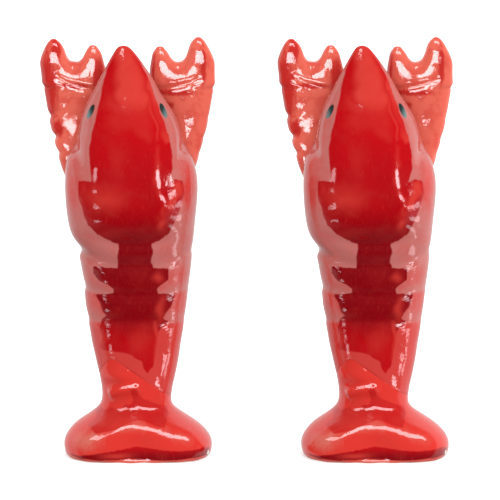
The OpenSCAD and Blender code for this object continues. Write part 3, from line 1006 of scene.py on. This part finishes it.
# Softboxes: name, the parts that they reach, azimuth and elevation in degrees, width, height and
# strength. Azimuth 0 is straight in front.
LIGHTS = [
    ("left_window", "_body_", -50, 13, 0.17, 0.25, 5),
    ("left_window", "_body_", -50, -3, 0.17, 0.08, 5),
    ("left_window", "_body_", -50, -19, 0.17, 0.07, 5),
    ("left_window", "_body_", -50, -31, 0.17, 0.06, 5),
    ("right_window", "_body_", 47, 17, 0.34, 0.40, 11),
    ("right_window", "_body_", 50, -4, 0.34, 0.14, 9),
    ("right_window", "_body_", 58, -15, 0.24, 0.10, 6),
    ("right_window", "_body_", 73, -17, 0.2, 0.09, 4.5),
    ("right_window", "_body_", 78, -27, 0.28, 0.10, 4),
    ("right_window", "_body_", 80, -43, 0.3, 0.18, 3),
    ("high_window", None, -22, 61, 0.44, 0.34, 9),
    ("tip_window", "_body_", -26, 48, 0.5, 0.07, 8),
    ("right_strip", "_tail_fan", 40, 56, 1.4, 0.34, 8),
    ("left_strip", "_tail_fan", -62, 50, 0.5, 0.26, 6),
    ("claw_window", "_claw_", -24, -10, 0.36, 0.20, 13),
    ("claw_window", "_claw_", -24, 12, 0.32, 0.26, 13),
]

CAMERA_ELEVATION = math.radians(9)
CAMERA_DISTANCE = 1.6
# What the picture shows at the figures' distance: its width and its middle
VIEW_WIDTH = 0.1316
VIEW_MIDDLE = Vector((0.0007, 0, 0.05446))


def make_floor():
    mesh = bpy.data.meshes.new("floor")
    corners = [(x * FLOOR_HALF, y * FLOOR_HALF, 0) for x, y in ((-1, -1), (1, -1), (1, 1), (-1, 1))]
    mesh.from_pydata(corners, [], [(0, 1, 2, 3)])
    floor = bpy.data.objects.new("floor", mesh)
    bpy.context.scene.collection.objects.link(floor)
    material, m = new_material("floor_white")
    m.surface({
        "Base Color": rgb(0.9, 0.9, 0.9),
        "Roughness": 0.9,
        "Specular IOR Level": 0.0,
        "Emission Color": rgb(1, 1, 1),
        "Emission Strength": 0.3,
    })
    mesh.materials.append(material)
    # The figures take their light from the tent alone, which goes on below the floor
    floor.visible_glossy = False
    floor.visible_diffuse = False


def make_tent():
    """White light tent, darker below. Gloss sees it bright behind the figures and dark at its open
    side, which they face."""
    world = bpy.data.worlds.new("tent")
    world.use_nodes = True
    bpy.context.scene.world = world
    w = Nodes(world.node_tree)
    way = w.add("ShaderNodeTexCoord").outputs["Generated"]
    split = w.add("ShaderNodeSeparateXYZ")
    w.put(split, 0, way)
    height = split.outputs["Z"]
    even = w.ramp(height, -0.9, 0.1, 0.78, 1.95)
    even = w.math("MULTIPLY", even, w.math("ADD", w.math("MULTIPLY", split.outputs["X"], 0.3), 1.0))
    opening = w.add("ShaderNodeVectorMath", operation="DOT_PRODUCT")
    w.put(opening, 0, way)
    w.put(opening, 1, Vector((0, -math.cos(OPENING_ELEVATION), math.sin(OPENING_ELEVATION))))
    gloss = w.ramp(opening.outputs["Value"], CLOSED_COS, OPEN_COS, 1.2, 0.05)
    gloss = w.math("MULTIPLY", gloss, w.ramp(height, -0.8, -0.15, 0.1, 1.0))
    gloss = w.math("MULTIPLY", gloss, w.ramp(height, 0.75, 0.97, 1.0, 0.15))
    level = w.add("ShaderNodeMix", data_type="FLOAT")
    is_gloss = w.add("ShaderNodeLightPath").outputs["Is Glossy Ray"]
    for key, value in ((0, is_gloss), (2, even), (3, gloss)):
        w.put(level, key, value)
    back = w.add("ShaderNodeBackground")
    w.put(back, "Strength", level.outputs[0])
    w.end_in("ShaderNodeOutputWorld", back)


def pieces_with(part):
    """Collection of the glazed pieces of one part, for a light that reaches only these."""
    made = bpy.data.collections.new("lit" + part)
    for piece in bpy.data.objects:
        if piece.name.endswith("_glazed") and part in piece.name:
            made.objects.link(piece)
    return made


def make_light(name, azimuth, elevation, width, height, strength, pieces):
    """Softbox that faces the figures and shows only in their gloss."""
    data = bpy.data.lights.new(name, "AREA")
    data.shape = "RECTANGLE"
    data.size, data.size_y, data.energy = width, height, strength * 4 * width * height
    data.color = LIGHT_TINT
    light = bpy.data.objects.new(name, data)
    a, e = math.radians(azimuth), math.radians(elevation)
    way = Vector((math.sin(a) * math.cos(e), -math.cos(a) * math.cos(e), math.sin(e)))
    light.location = LIGHT_TARGET + way * LIGHT_DISTANCE
    light.rotation_euler = way.to_track_quat("Z", "Y").to_euler()
    light.visible_diffuse = False
    light.light_linking.receiver_collection = pieces
    bpy.context.scene.collection.objects.link(light)


def make_camera():
    data = bpy.data.cameras.new("camera")
    data.sensor_width = 36
    data.lens = data.sensor_width * CAMERA_DISTANCE / VIEW_WIDTH
    data.clip_end = 50
    camera = bpy.data.objects.new("camera", data)
    way = Vector((0, -math.cos(CAMERA_ELEVATION), math.sin(CAMERA_ELEVATION)))
    camera.location = VIEW_MIDDLE + way * CAMERA_DISTANCE
    camera.rotation_euler = way.to_track_quat("Z", "Y").to_euler()
    bpy.context.scene.collection.objects.link(camera)
    bpy.context.scene.camera = camera


make_floor()
make_tent()
reach = {part: pieces_with(part) for part in ("_body_", "_tail_fan", "_claw_")}
for name, part, azimuth, elevation, width, height, strength in LIGHTS:
    make_light(name, azimuth, elevation, width, height, strength, reach.get(part))
make_camera()
bpy.context.scene.view_settings.view_transform = "Standard"
